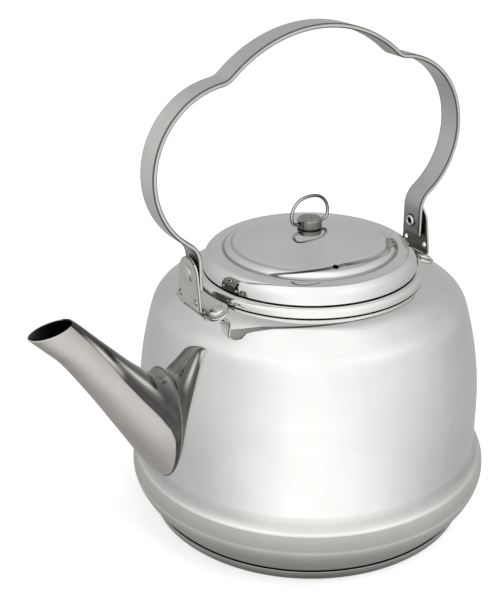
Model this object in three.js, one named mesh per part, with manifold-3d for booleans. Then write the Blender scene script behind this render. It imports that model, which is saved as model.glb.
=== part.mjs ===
// Steel kettle with a lift-off lid, a swinging bail and a slanted spout.
// Millimetres, +Z up. The spout points along -X and the bail stands in the X-Z plane.
// The origin is the centre of the base's underside.
import * as THREE from 'three';
import { mergeVertices } from 'three/addons/utils/BufferGeometryUtils.js';
import Module from 'manifold-3d';

const wasm = await Module();
wasm.setup();

// Facet counts
const roundSides = 44;
const rivetSides = 12;
const knobSides = 20;
const wireSides = 8;
const wireSteps = 32;
const spoutSides = 24;
const curveSteps = 4;
const edgeSteps = 6;
const domeSteps = 3;

// Gaps and overruns shared by all pieces
const seatGap = 0.1;
const weldGap = 0.3;
const runningGap = 0.3;
const cutOverrun = 6;

// Base: a steel cap pressed over an aluminium disc, under the floor of the pan
const baseRadius = 92;
const baseHeight = 7.2;
const baseTaper = 1.6;
const baseEdge = 1.4;
const baseSheet = 0.6;
const baseGroove = 0.6;

// Lower pan: floor and rolled bead, welded to the wall at the seam
const panSheet = 0.8;
const panFloorInset = 0.8;
const beadStandOut = 5.7;
const beadHeight = 26;
const seamHeight = 43;
const beadFootShares = [[0.32, 0.2], [1, 0.63]];
const beadTopShares = [[1, 0.45], [0, 0.72], [0, 1]];

// Wall and shoulder, one sheet
const bodyRadius = 95.7;
const bodySheet = 0.8;
const shoulderHeight = 138.8;
const shoulderWidth = 33.3;
const wallDraft = 8.5;
const shoulderDrop = 4.6;
const wallShares = [[0, 0.22], [0, 0.47], [0.52, 0.668], [1, 0.814]];
const kneeShare = 0.44;
const shoulderShare = 0.6;

// Neck: rolled collar that stands on the shoulder and carries the lid
const neckHeight = 5.4;
const neckSheet = 0.8;
const neckLip = 5.5;
const neckLeg = 14;
const neckRoundShares = [[0.62, 0], [1, 0.26], [1, 0.66]];

// Lid: domed plate with a step, a flat ring and a rounded rim
const lidSheet = 0.8;
const lidSetIn = 3.9;
const lidRimDrop = 9;
const lidRimWidth = 5.6;
const lidRimGap = 0.3;
const lidFlatWidth = 4.4;
const lidStepHeight = 3.2;
const lidStepWidth = 5.4;
const lidDomeRise = 8.1;
const lidTopRadius = 7.4;
const lidRimShares = [[0.46, 0], [1, 0.41], [1, 1]];
const lidStepShares = [[0.62, 0.1], [0.3, 1], [1, 1]];
const lidDomeShares = [[0.5, 0.02], [0.82, 0.66]];
const skirtClearance = 0.4;
const skirtSheet = 0.8;
const skirtDepth = 20.5;
const ventRadius = 1.6;
const ventInset = 2.9;
const ventAngle = -104.6;

// Knob and its wire ring
const knobRadius = 6.8;
const knobHeight = 5.2;
const knobChamfer = 0.5;
const knobShankRadius = 2;
const knobTailRadius = 3.2;
const knobTailHeight = 1;
const knobWasherRadius = 6;
const knobWasherSheet = 0.8;
const wireRadius = 0.9;
const wireHoleClearance = 0.3;
const wireHeightShare = 0.54;
const ringWidth = 25.4;
const ringHeight = 15.6;
const ringEndGap = 8.6;
const ringShares = [[0.68, 0], [0.91, 0.085], [0.985, 0.32], [0.87, 0.66], [0.52, 0.92]];

// Brackets: an ear that holds the pivot, on a foot riveted to the shoulder
const bracketSheet = 1.6;
const footWidth = 11.8;
const footNeckGap = 0.8;
const footAngle = 13.1;
const earFootHalfWidth = 11.7;
const earTopRadius = 9.3;
const earOverlap = 1.3;
const pivotRise = 15.7;
const reliefRadius = 1.5;
const reliefOffset = 8.2;
const reliefRise = 2.6;

// Rivets and washers
const footRivetHead = 4;
const footRivetDome = 1.3;
const footRivetShank = 1.7;
const footRivetTail = 2.8;
const footRivetTailHeight = 0.9;
const pivotHead = 4.5;
const pivotDome = 1.4;
const pivotShank = 2.5;
const pivotTail = 3.2;
const pivotTailHeight = 1.3;
const pivotTubeBore = 1.7;
const pivotTubeDepth = 3;
const washerThickness = 0.8;
const washerRadius = 5.5;

// Bail: flat strip bent in one plane, radii along its middle line
const bailThickness = 2.5;
const bailWidth = 14.8;
const bailEdge = 0.7;
const bailStandOut = 0.65;
const bailRise = 120.1;
const bailTail = 8.5;
const crownRadius = 76.45;
const lobeRadius = 43.85;
const lobeRise = 53.5;
const valleyRadius = 10;
const ankleRadius = 12.75;
const bendStep = 12;

// Spout: oval tapered tube, cut level at the lip and flared where it meets the wall
const spoutSheet = 0.8;
const spoutReach = 56.25;
const spoutLipHeight = 142.6;
const spoutLipLength = 24;
const spoutLipWidth = 15.8;
const spoutLipTilt = 12;
const spoutBaseTop = 106;
const spoutBaseBottom = 38.6;
const spoutBaseWidth = 42;
const spoutInset = 9;
const spoutHoleHeight = 40;
const spoutHoleWidth = 30;
// Each row is one ring of the spout from the lip to the wall: shares of the run and of the drop
// from lip to wall for its top point and its bottom point, and shares of the widening and the egg.
const spoutShares = [
  [0, 0, 0, 0, 0, 0],
  [0.085, 0.115, 0.105, 0.085, 0.09, 0],
  [0.2, 0.285, 0.21, 0.175, 0.24, 0],
  [0.38, 0.545, 0.38, 0.375, 0.46, 0.1],
  [0.56, 0.8, 0.555, 0.6, 0.68, 0.3],
  [0.67, 0.94, 0.7, 0.79, 0.83, 0.6],
  [0.745, 1.05, 0.79, 0.9, 0.91, 0.8],
  [0.81, 1.085, 0.86, 0.958, 0.96, 0.9],
  [0.885, 1.07, 0.92, 0.985, 1, 1],
  [1, 1, 1, 1, 1.02, 1],
];
const spoutEggShare = 0.13;

// Places worked out from the sizes above
const beadRadius = bodyRadius + beadStandOut;
const panFloorRadius = baseRadius - panFloorInset;
const neckRadius = bodyRadius - shoulderWidth;
const lidRadius = neckRadius - lidSetIn;
const neckBore = lidRadius - neckLip;
const lidFlatRadius = lidRadius - lidRimWidth;
const lidStepRadius = lidFlatRadius - lidFlatWidth - lidStepWidth;
const footInnerRadius = neckRadius + footNeckGap;
const footOuterRadius = footInnerRadius + footWidth;
const footRadius = (footInnerRadius + footOuterRadius) / 2;
const shoulderRadius = footOuterRadius + weldGap;
const earInner = footOuterRadius - earOverlap;
const pivotHeight = shoulderHeight + pivotRise;
const bailInner = earInner - washerThickness - 2 * seatGap - bailThickness;
const bailSpan = 2 * (bodyRadius + bailStandOut);
const neckTop = shoulderHeight + neckHeight;
const lidRimHeight = neckTop + lidRimGap;
const lidFlatHeight = lidRimHeight + lidRimDrop;
const lidTop = lidFlatHeight + lidStepHeight + lidDomeRise;
const skirtRadius = neckBore - skirtClearance;
const wireHeight = lidTop + knobHeight * wireHeightShare;
const footRivetAngles = [180 + footAngle, 180 - footAngle, -footAngle, footAngle];

const between = (from, to, share) => from + (to - from) * share;
const degrees = (angle) => THREE.MathUtils.degToRad(angle);
const point = (radius, height) => new THREE.Vector2(radius, height);

// Height of the shoulder's outer surface, a shallow cone from the neck to the bracket feet
function shoulderAt(radius) {
  const slope = shoulderDrop / (shoulderRadius - neckRadius);
  return shoulderHeight - (radius - neckRadius) * slope;
}

// Geometry with shared vertices, no flat triangles and its faces outwards
function closed(geometry) {
  const bare = new THREE.BufferGeometry();
  bare.setAttribute('position', geometry.getAttribute('position'));
  bare.setIndex(geometry.getIndex());
  const merged = mergeVertices(bare);
  const vertices = merged.getAttribute('position').array;
  const corners = merged.getIndex().array;
  const at = (index) => new THREE.Vector3().fromArray(vertices, 3 * index);
  const faces = [];
  let volume = 0;
  for (let i = 0; i < corners.length; i += 3) {
    const [a, b, c] = corners.slice(i, i + 3);
    if (a === b || b === c || c === a) continue;
    faces.push([a, b, c]);
    volume += at(a).dot(at(b).cross(at(c)));
  }
  merged.setIndex(faces.flatMap(([a, b, c]) => (volume < 0 ? [a, c, b] : [a, b, c])));
  return merged;
}

function toSolid(geometry) {
  const merged = closed(geometry);
  const mesh = new wasm.Mesh({
    numProp: 3,
    vertProperties: new Float32Array(merged.getAttribute('position').array),
    triVerts: new Uint32Array(merged.getIndex().array),
  });
  return new wasm.Manifold(mesh);
}

function toGeometry(solid) {
  const mesh = solid.getMesh();
  const geometry = new THREE.BufferGeometry();
  geometry.setAttribute('position', new THREE.BufferAttribute(mesh.vertProperties, mesh.numProp));
  geometry.setIndex(new THREE.BufferAttribute(mesh.triVerts, 1));
  return geometry;
}

// Points moved sideways off an open profile, to its left for a positive distance
function offsetProfile(points, distance) {
  const leftOf = (a, b) => point(a.y - b.y, b.x - a.x).normalize();
  return points.map((here, i) => {
    const before = i > 0 ? leftOf(points[i - 1], here) : null;
    const after = i < points.length - 1 ? leftOf(here, points[i + 1]) : null;
    const first = before ?? after;
    const second = after ?? before;
    const side = first.clone().add(second);
    side.multiplyScalar(distance / (1 + first.dot(second)));
    return here.clone().add(side);
  });
}

// Closed profile of bent sheet, from one of its two sides
function sheetProfile(points, thickness) {
  return [...points, ...offsetProfile(points, thickness).reverse()];
}

// Solid of revolution about Z from points (radius, height)
function revolve(points, sides = roundSides) {
  const profile = points[0].x > 0 ? [...points, points[0].clone()] : points;
  return new THREE.LatheGeometry(profile, sides).rotateX(Math.PI / 2);
}

// Cylinder about Z, longer than the sheet it cuts
function punch(radius, length, sides = rivetSides) {
  return new THREE.CylinderGeometry(radius, radius, length, sides).rotateX(Math.PI / 2);
}

// Curve through named shares: each curve takes two handles and an end
function addCurve(path, corner, size, shares) {
  for (let i = 0; i + 2 < shares.length; i += 3) {
    const places = shares.slice(i, i + 3).map(([across, up]) => point(
      corner.x + across * size.x,
      corner.y + up * size.y,
    ));
    const [firstHandle, secondHandle, end] = places;
    path.bezierCurveTo(firstHandle.x, firstHandle.y, secondHandle.x, secondHandle.y, end.x, end.y);
  }
}

// Outside of the pan from the middle of the floor to the seam
function panOutside() {
  const path = new THREE.Path();
  path.moveTo(0, baseHeight);
  path.lineTo(panFloorRadius, baseHeight);
  const flare = point(beadRadius - panFloorRadius, beadHeight - baseHeight);
  addCurve(path, point(panFloorRadius, baseHeight), flare, [...beadFootShares, [1, 1]]);
  const closing = point(beadStandOut, seamHeight - beadHeight);
  addCurve(path, point(bodyRadius, beadHeight), closing, beadTopShares);
  return path.getPoints(curveSteps);
}

// Outside of the wall and shoulder from the seam to the neck hole
function bodyOutside(holeRadius) {
  const path = new THREE.Path();
  const rise = shoulderHeight - seamHeight;
  const [straight, ...curve] = wallShares.map(([inset, up]) => point(
    bodyRadius - inset * wallDraft,
    seamHeight + up * rise,
  ));
  const [, lean, knee] = curve;
  path.moveTo(bodyRadius, seamHeight);
  path.lineTo(straight.x, straight.y);
  path.bezierCurveTo(curve[0].x, curve[0].y, lean.x, lean.y, knee.x, knee.y);
  const kneeHandle = knee.clone().add(knee.clone().sub(lean).multiplyScalar(kneeShare));
  const edge = point(shoulderRadius, shoulderAt(shoulderRadius));
  const edgeHandle = point(
    edge.x + shoulderShare * (shoulderRadius - neckRadius),
    edge.y - shoulderShare * shoulderDrop,
  );
  path.bezierCurveTo(kneeHandle.x, kneeHandle.y, edgeHandle.x, edgeHandle.y, edge.x, edge.y);
  path.lineTo(holeRadius, shoulderAt(holeRadius));
  return path.getPoints(curveSteps);
}

// Filled outer form of the kettle, grown by a gap, for cutting what is welded to it
function bodyForm(gap) {
  const outside = [...panOutside().slice(1), ...bodyOutside(neckRadius).slice(1)];
  const grown = offsetProfile(outside, -gap);
  const top = grown[grown.length - 1].y;
  return toSolid(revolve([point(0, baseHeight), ...grown, point(0, top)]));
}

function baseCap() {
  const foot = baseRadius - baseTaper;
  const rim = baseHeight - baseGroove;
  const path = new THREE.Path();
  path.moveTo(0, 0);
  path.lineTo(foot - baseEdge, 0);
  path.lineTo(foot, baseEdge);
  path.lineTo(baseRadius, rim);
  return revolve(sheetProfile(path.getPoints(), baseSheet));
}

// The disc fills the cap and touches the floor of the pan
function baseCore() {
  const radius = baseRadius - baseTaper - baseEdge - baseSheet - weldGap;
  const floor = [point(0, baseSheet), point(radius, baseSheet)];
  return revolve([...floor, point(radius, baseHeight), point(0, baseHeight)]);
}

function basePan() {
  return revolve(sheetProfile(panOutside(), panSheet));
}

// Oval pouring hole in the wall behind the spout
function spoutHole() {
  const middle = between(spoutBaseBottom, spoutBaseTop, 1 / 2);
  const depth = bodyRadius;
  const hole = new THREE.CylinderGeometry(spoutHoleWidth / 2, spoutHoleWidth / 2, depth, spoutSides);
  hole.rotateZ(Math.PI / 2).scale(1, 1, spoutHoleHeight / spoutHoleWidth);
  return hole.translate(-bodyRadius, 0, middle);
}

function bodyShell() {
  const sheet = revolve(sheetProfile(bodyOutside(neckBore + neckSheet + weldGap), bodySheet));
  let shell = toSolid(sheet).subtract(toSolid(spoutHole()));
  for (const place of footRivetPlaces(footRivetAngles)) {
    const hole = punch(footRivetShank + seatGap, cutOverrun).applyMatrix4(place);
    shell = shell.subtract(toSolid(hole));
  }
  return toGeometry(shell);
}

// Rolled collar: an inner leg down into the body, a flat top, and a round outer side
function neckRing() {
  const path = new THREE.Path();
  const flatEnd = lidRadius + weldGap;
  const foot = shoulderAt(neckRadius - neckSheet) + seatGap;
  path.moveTo(neckBore, neckTop - neckLeg);
  path.lineTo(neckBore, neckTop);
  path.lineTo(flatEnd, neckTop);
  addCurve(path, point(flatEnd, neckTop), point(neckRadius - flatEnd, foot - neckTop), neckRoundShares);
  path.lineTo(neckRadius, foot);
  return revolve(sheetProfile(path.getPoints(curveSteps), -neckSheet));
}

// Outside of the lid from its middle to the rim's edge
function lidOutside() {
  const path = new THREE.Path();
  const stepTop = lidFlatHeight + lidStepHeight;
  const dome = point(lidStepRadius - lidTopRadius, -lidDomeRise);
  path.moveTo(0, lidTop);
  path.lineTo(lidTopRadius, lidTop);
  addCurve(path, point(lidTopRadius, lidTop), dome, [...lidDomeShares, [1, 1]]);
  addCurve(path, point(lidStepRadius, stepTop), point(lidStepWidth, -lidStepHeight), lidStepShares);
  path.lineTo(lidFlatRadius, lidFlatHeight);
  const rim = point(lidRadius - lidFlatRadius, -lidRimDrop);
  addCurve(path, point(lidFlatRadius, lidFlatHeight), rim, lidRimShares);
  return path.getPoints(curveSteps);
}

function lidShell() {
  let shell = toSolid(revolve(sheetProfile(lidOutside(), -lidSheet)));
  const shankHole = punch(knobShankRadius + seatGap, cutOverrun).translate(0, 0, lidTop);
  const ventHole = punch(ventRadius, cutOverrun * 2).translate(lidStepRadius - ventInset, 0, lidTop);
  ventHole.rotateZ(degrees(ventAngle));
  shell = shell.subtract(toSolid(shankHole)).subtract(toSolid(ventHole));
  return toGeometry(shell);
}

// Plain ring welded under the lid's flat, which drops into the neck
function lidSkirt() {
  const top = lidFlatHeight - lidSheet;
  const bottom = top - skirtDepth;
  const inner = skirtRadius - skirtSheet;
  return revolve([
    point(inner, bottom),
    point(skirtRadius, bottom),
    point(skirtRadius, top),
    point(inner, top),
  ]);
}

// Round-topped head from the middle of its dome to its edge, on height zero
function domePoints(radius, rise) {
  return Array.from({ length: domeSteps + 1 }, (_, i) => {
    const angle = (Math.PI / 2) * (1 - i / domeSteps);
    return point(radius * Math.cos(angle), rise * Math.sin(angle));
  }).map((place, i) => (i === 0 ? point(0, place.y) : place));
}

// Turned button whose shank goes through the lid and is peened over a washer
function lidKnob() {
  const seat = lidTop;
  const top = seat + knobHeight;
  const tail = seat - lidSheet - knobWasherSheet - seatGap;
  const turned = revolve([
    point(0, top),
    point(knobRadius - knobChamfer, top),
    point(knobRadius, top - knobChamfer),
    point(knobRadius, seat),
    point(knobShankRadius, seat),
    point(knobShankRadius, tail),
    point(knobTailRadius, tail),
    point(knobTailRadius, tail - knobTailHeight),
    point(0, tail - knobTailHeight),
  ], knobSides);
  const hole = punch(wireRadius + wireHoleClearance, 2 * (knobRadius + cutOverrun));
  hole.rotateY(Math.PI / 2).translate(0, 0, wireHeight);
  return toGeometry(toSolid(turned).subtract(toSolid(hole)));
}

function flatWasher(inner, outer, bottom, thickness) {
  return revolve([
    point(inner, bottom),
    point(outer, bottom),
    point(outer, bottom + thickness),
    point(inner, bottom + thickness),
  ], rivetSides);
}

// Wire ring whose two ends turn in to the knob's cross hole, drawn about that hole
function knobRing() {
  const half = ringWidth / 2 - wireRadius;
  const rise = ringHeight - wireRadius;
  const right = [[ringEndGap / 2 / half, 0], ...ringShares];
  const left = right.map(([across, up]) => [-across, up]).reverse();
  const places = [...right, [0, 1], ...left].map(([across, up]) => new THREE.Vector3(
    across * half,
    0,
    up * rise,
  ));
  const path = new THREE.CatmullRomCurve3(places, false, 'centripetal');
  const section = new THREE.Shape().absarc(0, 0, wireRadius, 0, 2 * Math.PI);
  const round = new THREE.Shape(section.getSpacedPoints(wireSides).slice(0, wireSides));
  return new THREE.ExtrudeGeometry(round, { steps: wireSteps, extrudePath: path });
}

// Places of foot rivets at angles about the kettle's axis, square on the shoulder's cone
function footRivetPlaces(angles) {
  const lean = Math.atan2(shoulderDrop, shoulderRadius - neckRadius);
  return angles.map((angle) => {
    const tilt = new THREE.Matrix4().makeRotationY(lean);
    const lift = new THREE.Matrix4().makeTranslation(footRadius, 0, shoulderAt(footRadius));
    return new THREE.Matrix4().makeRotationZ(degrees(angle)).multiply(lift).multiply(tilt);
  });
}

// Outline of the foot seen from above: a round-ended slot bent about the kettle's axis
function footOutline() {
  const half = footWidth / 2;
  const end = degrees(footAngle);
  const shape = new THREE.Shape();
  const cap = (angle) => point(footRadius * Math.cos(angle), footRadius * Math.sin(angle));
  shape.absarc(0, 0, footOuterRadius, -end, end);
  shape.absarc(cap(end).x, cap(end).y, half, end, end + Math.PI);
  shape.absarc(0, 0, footInnerRadius, end, -end, true);
  shape.absarc(cap(-end).x, cap(-end).y, half, -end + Math.PI, -end + 2 * Math.PI);
  return shape;
}

// Outline of the ear seen along X: straight sides that run tangent into a round top
function earOutline() {
  const bottom = shoulderAt(footOuterRadius) - cutOverrun;
  const drop = pivotHeight - shoulderHeight;
  const lean = Math.atan2(earFootHalfWidth - earTopRadius, drop);
  const shape = new THREE.Shape();
  shape.moveTo(-earFootHalfWidth, bottom);
  shape.lineTo(earFootHalfWidth, bottom);
  shape.lineTo(earFootHalfWidth, shoulderHeight);
  shape.absarc(0, pivotHeight, earTopRadius, lean, Math.PI - lean);
  shape.lineTo(-earFootHalfWidth, shoulderHeight);
  for (const side of [-1, 1]) {
    const relief = new THREE.Path();
    const height = shoulderHeight + reliefRise;
    relief.absarc(side * reliefOffset, height, reliefRadius, 0, 2 * Math.PI);
    shape.holes.push(relief);
  }
  const pivot = new THREE.Path();
  pivot.absarc(0, pivotHeight, pivotShank + seatGap, 0, 2 * Math.PI);
  shape.holes.push(pivot);
  return shape;
}

function extrude(shape, depth) {
  return new THREE.ExtrudeGeometry(shape, { depth, bevelEnabled: false, curveSegments: edgeSteps });
}

// Bracket on the +X side of the kettle
function bracket() {
  const reach = [footOuterRadius + weldGap / 2, footInnerRadius - cutOverrun];
  const cone = reach.map((radius) => point(radius, shoulderAt(radius)));
  const underside = offsetProfile(cone, -seatGap);
  const plate = toSolid(revolve(sheetProfile(underside, -bracketSheet)));
  const footBlock = extrude(footOutline(), pivotHeight);
  const foot = plate.intersect(toSolid(footBlock));
  const ear = extrude(earOutline(), bracketSheet);
  const axes = new THREE.Matrix4().makeBasis(
    new THREE.Vector3(0, 1, 0),
    new THREE.Vector3(0, 0, 1),
    new THREE.Vector3(1, 0, 0),
  );
  ear.applyMatrix4(axes).translate(earInner, 0, 0);
  let whole = foot.add(toSolid(ear)).subtract(bodyForm(seatGap));
  for (const place of footRivetPlaces([-footAngle, footAngle])) {
    const hole = punch(footRivetShank + seatGap, cutOverrun).applyMatrix4(place);
    whole = whole.subtract(toSolid(hole));
  }
  return toGeometry(whole);
}

// Solid rivet drawn with the shoulder's surface at height zero
function footRivet() {
  const seat = bracketSheet + 2 * seatGap;
  const under = -bodySheet - seatGap;
  const head = domePoints(footRivetHead, footRivetDome).map((place) => point(place.x, place.y + seat));
  return revolve([
    ...head,
    point(footRivetShank, seat),
    point(footRivetShank, under),
    point(footRivetTail, under),
    point(footRivetTail, under - footRivetTailHeight),
    point(0, under - footRivetTailHeight),
  ], rivetSides);
}

// Semi-tubular rivet drawn with the ear's outer face at height zero
function pivotRivet() {
  const grip = bracketSheet + washerThickness + 2 * seatGap + bailThickness + runningGap;
  const end = -grip - pivotTailHeight;
  const head = domePoints(pivotHead, pivotDome).map((place) => point(place.x, place.y + seatGap));
  return revolve([
    ...head,
    point(pivotShank, seatGap),
    point(pivotShank, -grip),
    point(pivotTail, -grip),
    point(pivotTail, end),
    point(pivotTubeBore, end),
    point(pivotTubeBore, end + pivotTubeDepth),
    point(0, end + pivotTubeDepth),
  ], rivetSides);
}

function pivotWasher() {
  return flatWasher(pivotShank + seatGap, washerRadius, 0, washerThickness);
}

// Centre of the circle that touches two circles from outside, on their upper or lower side
function touchingCentre(first, firstRadius, second, secondRadius, side) {
  const apart = second.clone().sub(first);
  const distance = apart.length();
  const along = (firstRadius ** 2 - secondRadius ** 2 + distance ** 2) / (2 * distance);
  const across = Math.sqrt(firstRadius ** 2 - along ** 2);
  apart.normalize();
  const normal = point(-apart.y, apart.x).multiplyScalar(side * across);
  return first.clone().add(apart.multiplyScalar(along)).add(normal);
}

// Middle line of one bail arc as places with their outward side
function bendPlaces(centre, radius, from, to, outward) {
  const steps = Math.max(2, Math.ceil(Math.abs(to - from) / degrees(bendStep)));
  return Array.from({ length: steps + 1 }, (_, i) => {
    const angle = between(from, to, i / steps);
    const side = point(Math.cos(angle), Math.sin(angle));
    const place = centre.clone().add(side.clone().multiplyScalar(radius));
    return { place, side: side.multiplyScalar(outward) };
  });
}

// Half of the bail from its tail up to the crown, on the +X side
function bailHalf() {
  const footX = bailInner + bailThickness / 2;
  const crown = point(0, pivotHeight + bailRise - bailThickness / 2 - crownRadius);
  const lobe = point((bailSpan - bailThickness) / 2 - lobeRadius, pivotHeight + lobeRise);
  const valley = touchingCentre(crown, crownRadius + valleyRadius, lobe, lobeRadius + valleyRadius, 1);
  const ankleX = footX + ankleRadius;
  const ankleReach = lobeRadius + ankleRadius;
  const ankle = point(ankleX, lobe.y - Math.sqrt(ankleReach ** 2 - (ankleX - lobe.x) ** 2));
  const towards = (from, to) => Math.atan2(to.y - from.y, to.x - from.x);
  const ankleEnd = towards(ankle, lobe);
  const lobeStart = towards(lobe, ankle);
  const lobeEnd = towards(lobe, valley);
  const valleyStart = towards(valley, lobe);
  const valleyEnd = towards(valley, crown);
  const crownStart = towards(crown, valley);
  const tail = { place: point(footX, pivotHeight - bailTail), side: point(1, 0) };
  return [
    tail,
    ...bendPlaces(ankle, ankleRadius, Math.PI, ankleEnd, -1),
    ...bendPlaces(lobe, lobeRadius, lobeStart, lobeEnd, 1).slice(1),
    ...bendPlaces(valley, valleyRadius, valleyStart, valleyEnd, -1).slice(1),
    ...bendPlaces(crown, crownRadius, crownStart, Math.PI / 2, 1).slice(1),
  ];
}

function bail() {
  const right = bailHalf();
  const left = right.slice(0, -1).reverse().map(({ place, side }) => ({
    place: point(-place.x, place.y),
    side: point(-side.x, side.y),
  }));
  const line = [...right, ...left];
  const edge = (offset) => line.map(({ place, side }) => (
    place.clone().add(side.clone().multiplyScalar(offset))
  ));
  const outline = new THREE.Shape([...edge(bailThickness / 2), ...edge(-bailThickness / 2).reverse()]);
  const strip = new THREE.ExtrudeGeometry(outline, {
    depth: bailWidth - 2 * bailEdge,
    bevelThickness: bailEdge,
    bevelSize: bailEdge,
    bevelOffset: -bailEdge,
    bevelSegments: 1,
  });
  strip.rotateX(Math.PI / 2).translate(0, bailWidth / 2 - bailEdge, 0);
  const hole = punch(pivotShank + runningGap, bailSpan, knobSides);
  hole.rotateY(Math.PI / 2).translate(0, 0, pivotHeight);
  return toGeometry(toSolid(strip).subtract(toSolid(hole)));
}

// Top and bottom points of one spout ring, in the X-Z plane, with its half width and egg share
function spoutStation([topRun, topDrop, bottomRun, bottomDrop, widening, egg]) {
  const lip = point(-bodyRadius - spoutReach, spoutLipHeight);
  const tilt = point(Math.cos(degrees(spoutLipTilt)), Math.sin(degrees(spoutLipTilt)));
  const lipTop = lip.clone().add(tilt.clone().multiplyScalar(spoutLipLength / 2));
  const lipBottom = lip.clone().sub(tilt.multiplyScalar(spoutLipLength / 2));
  const wallX = -bodyRadius + spoutInset;
  return {
    top: point(between(lipTop.x, wallX, topRun), between(lipTop.y, spoutBaseTop, topDrop)),
    bottom: point(between(lipBottom.x, wallX, bottomRun), between(lipBottom.y, spoutBaseBottom, bottomDrop)),
    halfWidth: between(spoutLipWidth, spoutBaseWidth, widening) / 2,
    egg: egg * spoutEggShare,
  };
}

// Ring of points round one station, drawn in by the sheet's thickness for the bore
function spoutRing(station, inset) {
  const middle = station.top.clone().add(station.bottom).multiplyScalar(1 / 2);
  const half = station.top.clone().sub(middle);
  const shrink = 1 - inset / half.length();
  const halfWidth = station.halfWidth - inset;
  return Array.from({ length: spoutSides }, (_, i) => {
    const angle = (2 * Math.PI * i) / spoutSides;
    const along = Math.cos(angle) * shrink;
    const across = Math.sin(angle) * (1 + station.egg * Math.cos(angle));
    return [middle.x + half.x * along, halfWidth * across, middle.y + half.y * along];
  });
}

// Lofted tube with a wall, its base cut to the kettle's own curve
function spout() {
  const stations = spoutShares.map(spoutStation);
  const rings = [
    ...stations.map((station) => spoutRing(station, 0)),
    ...stations.map((station) => spoutRing(station, spoutSheet)).reverse(),
  ];
  const index = [];
  rings.forEach((ring, row) => {
    const next = (row + 1) % rings.length;
    for (let i = 0; i < spoutSides; i += 1) {
      const [a, b] = [row * spoutSides + i, row * spoutSides + ((i + 1) % spoutSides)];
      const [c, d] = [next * spoutSides + i, next * spoutSides + ((i + 1) % spoutSides)];
      index.push(a, b, c, b, d, c);
    }
  });
  const geometry = new THREE.BufferGeometry();
  geometry.setAttribute('position', new THREE.Float32BufferAttribute(rings.flat(2), 3));
  geometry.setIndex(index);
  return toGeometry(toSolid(geometry).subtract(bodyForm(weldGap)));
}

function steel(colour, roughness) {
  return new THREE.MeshStandardMaterial({ color: colour, roughness, metalness: 1 });
}

const finishes = {
  mirror: steel(0xd9d9d6, 0.06),
  spun: steel(0x8f8b88, 0.35),
  satin: steel(0xb4b3ae, 0.3),
  dark: steel(0x85827d, 0.25),
  bright: steel(0xcfcfcb, 0.12),
  aluminium: new THREE.MeshStandardMaterial({ color: 0xb9bcbf, roughness: 0.5, metalness: 1 }),
};

function addPiece(parent, name, geometry, finish) {
  const mesh = new THREE.Mesh(closed(geometry), finishes[finish]);
  mesh.name = name;
  parent.add(mesh);
  return mesh;
}

const kettle = new THREE.Group();
addPiece(kettle, 'base_cap', baseCap(), 'spun');
addPiece(kettle, 'base_core', baseCore(), 'aluminium');
addPiece(kettle, 'base_pan', basePan(), 'mirror');
addPiece(kettle, 'body_shell', bodyShell(), 'mirror');
addPiece(kettle, 'neck_ring', neckRing(), 'mirror');
addPiece(kettle, 'spout', spout(), 'mirror');

// The front side, by the spout, is the rear side turned half round
const sides = [['rear', 0], ['front', Math.PI]];
for (const [side, turn] of sides) {
  const mount = new THREE.Group();
  mount.rotation.z = turn;
  kettle.add(mount);
  addPiece(mount, `${side}_bracket`, bracket(), 'dark');
  const rivet = addPiece(mount, `${side}_pivot_rivet`, pivotRivet(), 'bright');
  rivet.position.set(earInner + bracketSheet, 0, pivotHeight);
  rivet.rotation.y = Math.PI / 2;
  const washer = addPiece(mount, `${side}_pivot_washer`, pivotWasher(), 'dark');
  washer.position.set(earInner - seatGap - washerThickness, 0, pivotHeight);
  washer.rotation.y = Math.PI / 2;
}

const rivetNames = ['front_right', 'front_left', 'rear_right', 'rear_left'];
footRivetPlaces(footRivetAngles).forEach((place, i) => {
  const rivet = addPiece(kettle, `${rivetNames[i]}_foot_rivet`, footRivet(), 'bright');
  rivet.applyMatrix4(place);
});

addPiece(kettle, 'bail', bail(), 'satin');

addPiece(kettle, 'lid_shell', lidShell(), 'mirror');
addPiece(kettle, 'lid_skirt', lidSkirt(), 'satin');
addPiece(kettle, 'lid_knob', lidKnob(), 'mirror');
const washerBottom = lidTop - lidSheet - knobWasherSheet;
const knobWasher = flatWasher(knobShankRadius + seatGap, knobWasherRadius, washerBottom, knobWasherSheet);
addPiece(kettle, 'knob_washer', knobWasher, 'satin');
const ring = addPiece(kettle, 'knob_ring', knobRing(), 'bright');
ring.position.z = wireHeight;

export default kettle;
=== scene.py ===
from math import atan2, cos, degrees, exp, pi, radians, sin, sqrt

import bmesh
import bpy
from mathutils import Matrix, Vector
from mathutils.geometry import interpolate_bezier, intersect_sphere_sphere_2d


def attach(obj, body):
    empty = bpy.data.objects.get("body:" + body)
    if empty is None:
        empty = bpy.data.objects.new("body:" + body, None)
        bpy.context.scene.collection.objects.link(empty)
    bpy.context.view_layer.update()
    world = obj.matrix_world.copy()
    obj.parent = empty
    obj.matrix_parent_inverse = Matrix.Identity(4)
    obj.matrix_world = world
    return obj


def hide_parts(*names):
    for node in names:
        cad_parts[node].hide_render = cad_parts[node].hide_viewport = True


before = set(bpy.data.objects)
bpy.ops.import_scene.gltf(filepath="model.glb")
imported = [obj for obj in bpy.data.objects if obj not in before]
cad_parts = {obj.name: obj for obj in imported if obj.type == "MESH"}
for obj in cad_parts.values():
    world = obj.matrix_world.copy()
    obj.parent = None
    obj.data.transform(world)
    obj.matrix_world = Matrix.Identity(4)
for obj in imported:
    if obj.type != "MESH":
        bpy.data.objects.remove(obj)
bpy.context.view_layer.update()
print("kettle: frame loaded")

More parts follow.
